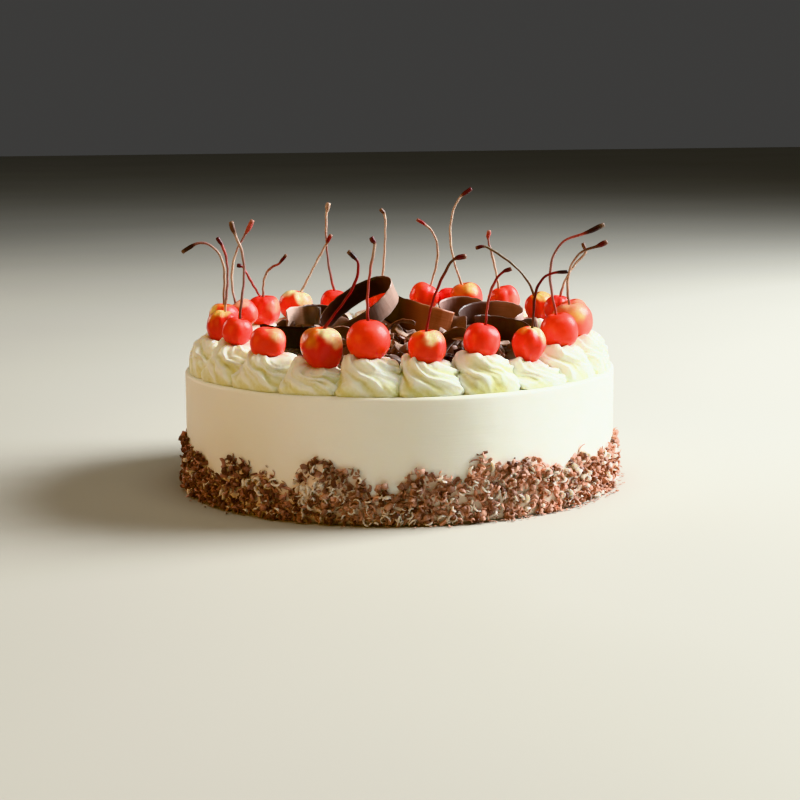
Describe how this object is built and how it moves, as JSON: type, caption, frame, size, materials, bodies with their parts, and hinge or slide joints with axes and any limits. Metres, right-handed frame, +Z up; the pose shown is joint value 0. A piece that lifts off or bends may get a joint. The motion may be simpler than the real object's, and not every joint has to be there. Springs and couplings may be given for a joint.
{
  "type": "black forest cake",
  "caption": "Round cream-coated cake ringed with piped cream swirls, each with a stemmed red cherry, and a heap of curled dark chocolate shavings in the middle.",
  "frame": {"origin": "middle of the flat underside of the cake", "axes": "+Z up; -Y towards the side that is seen first; +X to its right"},
  "size_m": [0.2111, 0.21, 0.1399],
  "materials": {
    "whipped_cream": "soft satin whipped cream, off-white, light scatters below its surface",
    "cherry": "wet glossy preserved cherry, bright red with pale yellow patches round the stem",
    "chocolate": "satin dark chocolate with faint grain along each shaving"
  },
  "bodies": {
    "root": {"cake_body": "whipped_cream", "cherry_01": "cherry", "cherry_02": "cherry", "cherry_03": "cherry", "cherry_04": "cherry", "cherry_05": "cherry", "cherry_06": "cherry", "cherry_07": "cherry", "cherry_08": "cherry", "cherry_09": "cherry", "cherry_10": "cherry", "cherry_11": "cherry", "cherry_12": "cherry", "cherry_13": "cherry", "cherry_14": "cherry", "cherry_15": "cherry", "cherry_16": "cherry", "cherry_17": "cherry", "cherry_18": "cherry", "cherry_19": "cherry", "cherry_20": "cherry", "cherry_21": "cherry", "cherry_22": "cherry", "cherry_23": "cherry", "chocolate_curl_back_arch": "chocolate", "chocolate_curl_back_left": "chocolate", "chocolate_curl_back_middle": "chocolate", "chocolate_curl_back_right": "chocolate", "chocolate_curl_big_loop": "chocolate", "chocolate_curl_front_left": "chocolate", "chocolate_curl_front_right": "chocolate", "chocolate_curl_front_sliver": "chocolate", "chocolate_curl_left_roll": "chocolate", "chocolate_curl_left_strip": "chocolate", "chocolate_curl_middle_panel": "chocolate", "chocolate_curl_right_arch": "chocolate", "chocolate_curl_right_strip": "chocolate", "chocolate_shavings_heap": "chocolate", "cream_swirl_01": "whipped_cream", "cream_swirl_02": "whipped_cream", "cream_swirl_03": "whipped_cream", "cream_swirl_04": "whipped_cream", "cream_swirl_05": "whipped_cream", "cream_swirl_06": "whipped_cream", "cream_swirl_07": "whipped_cream", "cream_swirl_08": "whipped_cream", "cream_swirl_09": "whipped_cream", "cream_swirl_10": "whipped_cream", "cream_swirl_11": "whipped_cream", "cream_swirl_12": "whipped_cream", "cream_swirl_13": "whipped_cream", "cream_swirl_14": "whipped_cream", "cream_swirl_15": "whipped_cream", "cream_swirl_16": "whipped_cream", "cream_swirl_17": "whipped_cream", "cream_swirl_18": "whipped_cream", "cream_swirl_19": "whipped_cream", "cream_swirl_20": "whipped_cream", "cream_swirl_21": "whipped_cream", "cream_swirl_22": "whipped_cream"}
  },
  "joints": []
}
